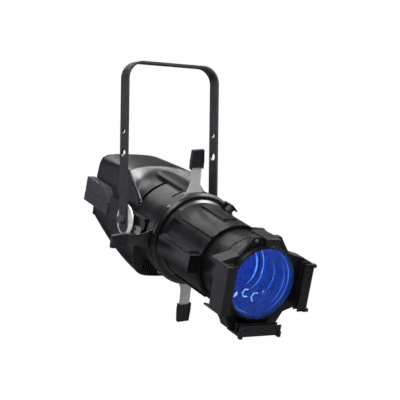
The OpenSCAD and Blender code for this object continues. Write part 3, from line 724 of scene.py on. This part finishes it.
def make_liner():
    """Glowing wall inside the lens tube, stepping inwards towards a channel near the back."""
    outer, rear, step_front = 66.6, 160, LENS_S - 5
    channel, channel_rear = 66.5, 231
    profile = [(outer, rear), (outer, step_front)]
    for radius, step_rear in ((64.6, 300), (62.6, 268), (60.6, 244)):
        profile += [(radius, step_front), (radius, step_rear)]
        step_front = step_rear
    profile += [(channel, step_front), (channel, channel_rear), (58, channel_rear), (56, rear)]
    mesh = lathe("lens_tube_liner", profile)
    liner = new_object("lens_tube_liner", mesh, BARREL, "lens", glow_liner_material())
    bevel(liner, 0.3, 1)


def make_painted_highlight_arcs():
    """Thin arcs of painted highlight inside the lens tube, standing in for light caught on the edges of rings
    deeper in the tube; the thicker ones are brighter.
    """
    # Radius, distance along the beam, thickness, first and last angle.
    arcs = ((47.2, 252, 2.2, 35, 140), (56.6, 260, 1.6, 40, 140), (50.0, 306, 1.0, 50, 140),
            (57.6, 327, 1.0, 55, 140), (63.6, 332, 1.0, 30, 150), (62.0, 329, 1.2, 190, 225))
    for index, arc in enumerate(arcs):
        name = f"painted_highlight_arc_{index}"
        thick = arc[2]
        strength = 1.0 if thick > 1.5 else 0.55
        # Painted highlight: each arc glows by itself, and the thicker arcs glow more strongly.
        light = lit(name, (0.05, 0.22, 0.9), (0.30, 0.62, 1.0), strength, 90)
        new_object(name, arc_mesh(name, *arc), BARREL, "lens", light)


def make_glints():
    """Reflections of the emitters, just behind the front lens."""
    depth = 322
    # Place across and up, radius, thickness, first and last angle.
    glints = ((-18, -25, 9, 2.4, 150, 390), (4, -34, 10, 2.2, 210, 390), (-43, -25, 7, 4.5, 60, 180),
              (16, -22, 6, 1.4, 90, 150))
    shine = lit("glint_light", (0.10, 0.38, 0.95), (0.75, 0.90, 1.0), 1.0, 160)
    for index, (x, y, r, thick, first, last) in enumerate(glints):
        name = f"glint_{index}"
        mesh = glint_mesh(name, x, y, depth, r, thick, first, last)
        new_object(name, mesh, BARREL, "lens", shine)


make_front_lens()
make_liner()
make_painted_highlight_arcs()
make_glints()

# ------------------------------------------------------------------ CAD pieces

FINISHES = [
    (YOKE, 0.8, ["yoke"]),
    (CASTING, 0.9, ["pivot_arm_left", "pivot_arm_right", "rear_panel", "rear_lens_ring"]),
    (TURNED, 0.9, ["shutter_barrel", "barrel_tube", "lens_tube", "front_lens_ring"]),
    (CASTING, 0.7, ["lock_bracket"]),
    (SHEET, 0.6, ["frame_holder"]),
    (CLIP, 0.4, ["frame_clip"]),
    (POD, 1.4, ["side_pod_left", "side_pod_right"]),
    (KNOB, 0.8, ["tilt_knob", "rotation_lock_knob", "focus_knob", "fan_frame", "fan_rotor"]),
    (KNOB, 0.4, ["button_1", "button_2", "button_3", "button_4"]),
    (GRIP, 0.7, ["grip_top", "grip_left", "grip_bottom", "grip_right"]),
    (STEEL, 0.2, ["blade_top", "blade_bottom", "blade_right"]),
    (DARK_STEEL, 0.2, ["blade_left"]),
    (WHITE, 0.5, ["friction_discs"]),
    (BOLT, 0.5, ["pivot_bolt"]),
    (ZINC, 0.3, ["rear_screws", "holder_screws", "barrel_screws", "safety_eye"]),
    (ALUMINIUM, 0.3, ["chassis_plate", "heat_sink", "optic_holder", "gate_plate"]),
    (MIRROR, 0.3, ["mixing_tube"]),
    (BOARD, 0.2, ["power_supply", "control_board"]),
    (WHITE_BOARD, 0.2, ["led_board"]),
    (EMITTER, 0.2, ["led_emitters"]),
    (REAR_GLASS, 0.3, ["rear_lens"]),
    (BUSH, 0.4, ["barrel_bush"]),
    (SPRING, 0.3, ["clip_pin", "clip_spring"]),
    (DISPLAY, 0.3, ["display_window"]),
    (BLUE, 0.5, ["power_inlet"]),
    (GREY, 0.5, ["power_outlet"]),
    (GLOSSY, 0.5, ["data_inlet", "data_outlet"]),
]
for material, width, nodes in FINISHES:
    for node in nodes:
        finish_cad(node, material, width)


# ------------------------------------------------------------------ stage

def make_floor():
    """Pale floor far below, which the camera itself sees as pure white."""
    side, depth = 40.0, 2.5
    corners = [(-side, -side, 0), (side, -side, 0), (side, side, 0), (-side, side, 0)]
    mesh = mesh_from("floor", corners, [(0, 1, 2, 3)])
    floor = bpy.data.objects.new("floor", mesh)
    floor.location = (0, 0, cad_low.z - depth)
    bpy.context.scene.collection.objects.link(floor)
    material = bpy.data.materials.new("floor_pale")
    material.use_nodes = True
    tree = material.node_tree
    seen = tree.nodes.new("ShaderNodeEmission")
    seen.inputs["Color"].default_value = (1, 1, 1, 1)
    matt = tree.nodes.new("ShaderNodeBsdfDiffuse")
    matt.inputs["Color"].default_value = (0.6, 0.6, 0.6, 1)
    path = tree.nodes.new("ShaderNodeLightPath")
    mix = tree.nodes.new("ShaderNodeMixShader")
    tree.links.new(path.outputs["Is Camera Ray"], mix.inputs[0])
    tree.links.new(matt.outputs[0], mix.inputs[1])
    tree.links.new(seen.outputs[0], mix.inputs[2])
    tree.links.new(mix.outputs[0], tree.nodes["Material Output"].inputs["Surface"])
    floor.data.materials.append(material)


def make_world():
    """White behind the object, and a dimmer even light on it."""
    world = bpy.data.worlds.new("studio")
    bpy.context.scene.world = world
    world.use_nodes = True
    tree = world.node_tree
    backdrop = tree.nodes["Background"]
    backdrop.inputs["Color"].default_value = (1, 1, 1, 1)
    backdrop.inputs["Strength"].default_value = 1.0
    fill = tree.nodes.new("ShaderNodeBackground")
    fill.inputs["Color"].default_value = (0.93, 0.95, 1.0, 1)
    fill.inputs["Strength"].default_value = 0.09
    path = tree.nodes.new("ShaderNodeLightPath")
    mix = tree.nodes.new("ShaderNodeMixShader")
    tree.links.new(path.outputs["Is Camera Ray"], mix.inputs[0])
    tree.links.new(fill.outputs[0], mix.inputs[1])
    tree.links.new(backdrop.outputs[0], mix.inputs[2])
    tree.links.new(mix.outputs[0], tree.nodes["World Output"].inputs["Surface"])


CENTRE = Vector((0, 0, -0.33))


def softbox(name, place, size, power, color=(1, 1, 1)):
    """Rectangular lamp aimed at the middle of the object."""
    light = bpy.data.lights.new(name, "AREA")
    light.shape = "RECTANGLE"
    light.size, light.size_y = size
    light.energy = power
    light.color = color
    obj = bpy.data.objects.new(name, light)
    obj.location = place
    obj.rotation_euler = (CENTRE - Vector(place)).to_track_quat("-Z", "Y").to_euler()
    bpy.context.scene.collection.objects.link(obj)


def make_camera():
    azimuth, elevation, roll = math.radians(-33.028), math.radians(-0.979), math.radians(0.779)
    distance, sideways, aim_height, focal_length = 2.8916, 0.06156, 0.0412, 130.5
    aim = Vector((0, 0, PIVOT.z + aim_height))
    level = math.cos(elevation)
    back = Vector((math.sin(azimuth) * level, -math.cos(azimuth) * level, math.sin(elevation)))
    right = Vector((math.cos(azimuth), math.sin(azimuth), 0))
    up = back.cross(right)
    rolled_right = right * math.cos(roll) + up * math.sin(roll)
    rolled_up = up * math.cos(roll) - right * math.sin(roll)
    data = bpy.data.cameras.new("camera")
    data.sensor_width = 36
    data.lens = focal_length
    camera = bpy.data.objects.new("camera", data)
    axes = Matrix((rolled_right, rolled_up, back)).transposed().to_4x4()
    camera.matrix_world = Matrix.Translation(aim + back * distance + right * sideways) @ axes
    bpy.context.scene.collection.objects.link(camera)
    bpy.context.scene.camera = camera


make_floor()
make_world()
softbox("top_box", (-0.3, 0.0, 2.0), (1.7, 1.1), 38)
softbox("top_right_box", (1.3, -0.7, 1.5), (1.3, 1.1), 105)
softbox("back_strip", (0.1, 1.7, 1.6), (1.8, 0.3), 12)
softbox("top_left_box", (-1.4, -0.7, 1.7), (0.8, 0.6), 34, (0.97, 0.97, 1.0))
softbox("left_box", (-1.7, 1.9, -0.1), (0.6, 1.4), 4.0, (0.86, 0.84, 1.0))
softbox("front_box", (-1.2, -2.6, 1.3), (0.6, 0.5), 32)
softbox("right_box", (2.0, -1.0, 0.3), (0.4, 1.2), 12)
make_camera()
bpy.context.scene.view_settings.view_transform = "Standard"
